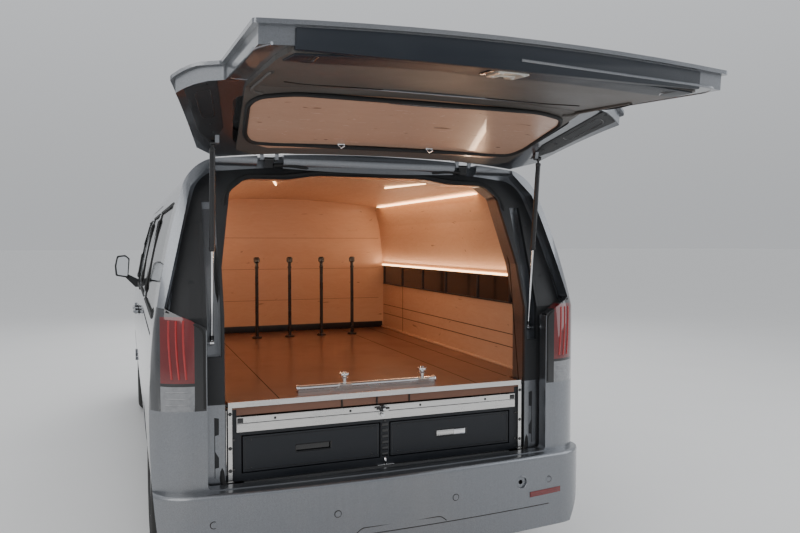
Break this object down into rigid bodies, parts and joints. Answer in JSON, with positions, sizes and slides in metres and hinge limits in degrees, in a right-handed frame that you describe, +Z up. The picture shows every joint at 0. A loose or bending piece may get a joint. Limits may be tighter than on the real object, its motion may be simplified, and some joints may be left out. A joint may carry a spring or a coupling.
{
  "type": "hearse",
  "caption": "Hearse on a van body with a raised tailgate on gas struts, doors, hood, steering, and a load deck with drawers and a slide-out tray.",
  "frame": {"origin": "on the ground, on the centre line, under the middle of the parked length with the tailgate raised", "axes": "+X to the vehicle's right, +Y forwards, +Z up"},
  "size_m": [2.2478, 6.1057, 2.1336],
  "materials": {
    "silver_paint": "metallic silver car paint",
    "glass_dark": "privacy glass",
    "glass_clear": "laminated screen",
    "glass_lamp": "clear lens",
    "glass_red": "red lens",
    "black_plastic": "grained black plastic",
    "black_gloss": "gloss black",
    "tyre": "road tyre",
    "alloy": "machined alloy",
    "stainless": "polished stainless",
    "strut_black": "black enamel",
    "bright_rod": "polished rod",
    "iron": "cast iron",
    "frame_black": "chassis black",
    "taupe_trim": "moulded trim",
    "oak_panel": "light oak veneer",
    "deck_board": "glossy brown laminate",
    "black_board": "black coated board",
    "seat_cloth": "woven seat cloth"
  },
  "bodies": {
    "body": {"roof_panel": "silver_paint", "windscreen": "glass_clear", "cowl_panel": "black_plastic", "front_fenders": "silver_paint", "front_bumper": "silver_paint", "headlamps": "glass_lamp", "grille": "black_gloss", "side_panels": "silver_paint", "sliding_doors": "silver_paint", "side_windows": "glass_dark", "rear_bumper": "silver_paint", "tail_lamps": "glass_red", "pillar_covers": "black_plastic", "rear_frame": "silver_paint", "front_subframe": "frame_black", "engine_block": "iron", "rear_axle": "iron", "wheelhouses": "black_plastic", "exhaust": "iron", "floor_pan": "frame_black", "dashboard": "black_plastic", "cab_seats": "seat_cloth", "side_linings": "oak_panel", "ceiling_lining": "oak_panel", "partition": "oak_panel", "load_deck": "deck_board", "deck_rails": "stainless", "stop_posts": "strut_black", "drawer_case": "black_board", "rear_sill": "black_plastic", "hinge_brackets": "strut_black"},
    "tailgate": {"tailgate": "silver_paint", "tailgate_glass": "glass_dark", "tailgate_lining": "taupe_trim", "tailgate_wood": "oak_panel"},
    "hood": {"hood": "silver_paint"},
    "steering_wheel": {"steering_wheel": "black_plastic"},
    "loading_tray": {"loading_tray": "stainless"},
    "door_right": {"door_right": "silver_paint", "door_glass_right": "glass_clear", "mirror_right": "black_plastic"},
    "strut_cylinder_right": {"strut_cylinder_right": "strut_black"},
    "strut_rod_right": {"strut_rod_right": "bright_rod"},
    "knuckle_right": {"knuckle_right": "iron"},
    "wheel_front_right": {"tyre_front_right": "tyre", "rim_front_right": "alloy"},
    "wheel_rear_right": {"tyre_rear_right": "tyre", "rim_rear_right": "alloy"},
    "drawer_right": {"drawer_right": "black_board"},
    "door_left": {"door_left": "silver_paint", "door_glass_left": "glass_clear", "mirror_left": "black_plastic"},
    "strut_cylinder_left": {"strut_cylinder_left": "strut_black"},
    "strut_rod_left": {"strut_rod_left": "bright_rod"},
    "knuckle_left": {"knuckle_left": "iron"},
    "wheel_front_left": {"tyre_front_left": "tyre", "rim_front_left": "alloy"},
    "wheel_rear_left": {"tyre_rear_left": "tyre", "rim_rear_left": "alloy"},
    "drawer_left": {"drawer_left": "black_board"}
  },
  "joints": [
    {"name": "tailgate_hinge", "type": "hinge", "parent": "body", "child": "tailgate", "pos_m": [0, -1.73, 1.88], "axis": [-1, 0, 0], "range_deg": [-86, 0]},
    {"name": "hood_hinge", "type": "hinge", "parent": "body", "child": "hood", "pos_m": [0, 2.258, 1.194], "axis": [1, 0, 0], "range_deg": [0, 60]},
    {"name": "steering_wheel_turn", "type": "hinge", "parent": "body", "child": "steering_wheel", "pos_m": [-0.43, 1.5, 1.075], "axis": [0, -0.9119, 0.4104], "range_deg": [-525, 525]},
    {"name": "tray_slide", "type": "slide", "parent": "body", "child": "loading_tray", "axis": [0, -1, 0], "range_m": [0, 0.9]},
    {"name": "door_hinge_right", "type": "hinge", "parent": "body", "child": "door_right", "pos_m": [0.9645, 1.715, 0.7], "axis": [0, 0, 1], "range_deg": [0, 68]},
    {"name": "strut_pivot_right", "type": "hinge", "parent": "tailgate", "child": "strut_cylinder_right", "pos_m": [0.724, -1.979, 1.904], "axis": [-1, 0, 0], "range_deg": [-1, 107]},
    {"name": "strut_slide_right", "type": "slide", "parent": "strut_cylinder_right", "child": "strut_rod_right", "axis": [0, 0.1068, -0.9943], "range_m": [-0.262, 0.001]},
    {"name": "steer_right", "type": "hinge", "parent": "body", "child": "knuckle_right", "pos_m": [0.745, 2.155, 0.2], "axis": [-0.1753, 0, 0.9845], "range_deg": [-35, 35]},
    {"name": "wheel_spin_front_right", "type": "hinge", "parent": "knuckle_right", "child": "wheel_front_right", "pos_m": [0.83, 2.155, 0.339], "axis": [1, 0, 0], "continuous": true},
    {"name": "wheel_spin_rear_right", "type": "hinge", "parent": "body", "child": "wheel_rear_right", "pos_m": [0.83, -1.045, 0.339], "axis": [1, 0, 0], "continuous": true},
    {"name": "drawer_slide_right", "type": "slide", "parent": "body", "child": "drawer_right", "axis": [0, -1, 0], "range_m": [0, 0.6]},
    {"name": "door_hinge_left", "type": "hinge", "parent": "body", "child": "door_left", "pos_m": [-0.9645, 1.715, 0.7], "axis": [0, 0, -1], "range_deg": [0, 68]},
    {"name": "strut_pivot_left", "type": "hinge", "parent": "tailgate", "child": "strut_cylinder_left", "pos_m": [-0.724, -1.979, 1.904], "axis": [-1, 0, 0], "range_deg": [-1, 107]},
    {"name": "strut_slide_left", "type": "slide", "parent": "strut_cylinder_left", "child": "strut_rod_left", "axis": [0, 0.1068, -0.9943], "range_m": [-0.262, 0.001]},
    {"name": "steer_left", "type": "hinge", "parent": "body", "child": "knuckle_left", "pos_m": [-0.745, 2.155, 0.2], "axis": [0.1753, 0, 0.9845], "range_deg": [-35, 35]},
    {"name": "wheel_spin_front_left", "type": "hinge", "parent": "knuckle_left", "child": "wheel_front_left", "pos_m": [-0.83, 2.155, 0.339], "axis": [1, 0, 0], "continuous": true},
    {"name": "wheel_spin_rear_left", "type": "hinge", "parent": "body", "child": "wheel_rear_left", "pos_m": [-0.83, -1.045, 0.339], "axis": [1, 0, 0], "continuous": true},
    {"name": "drawer_slide_left", "type": "slide", "parent": "body", "child": "drawer_left", "axis": [0, -1, 0], "range_m": [0, 0.6]}
  ],
  "couplings": [
    {"joint": "steering_wheel_turn", "follows": "steer_left", "ratio": 15},
    {"joint": "strut_pivot_right", "follows": "tailgate_hinge", "ratio": -1.2294},
    {"joint": "strut_slide_right", "follows": "tailgate_hinge", "m_per_rad": 0.17353},
    {"joint": "strut_pivot_left", "follows": "tailgate_hinge", "ratio": -1.2294},
    {"joint": "strut_slide_left", "follows": "tailgate_hinge", "m_per_rad": 0.17353},
    {"joint": "steer_right", "follows": "steer_left", "ratio": 1}
  ]
}
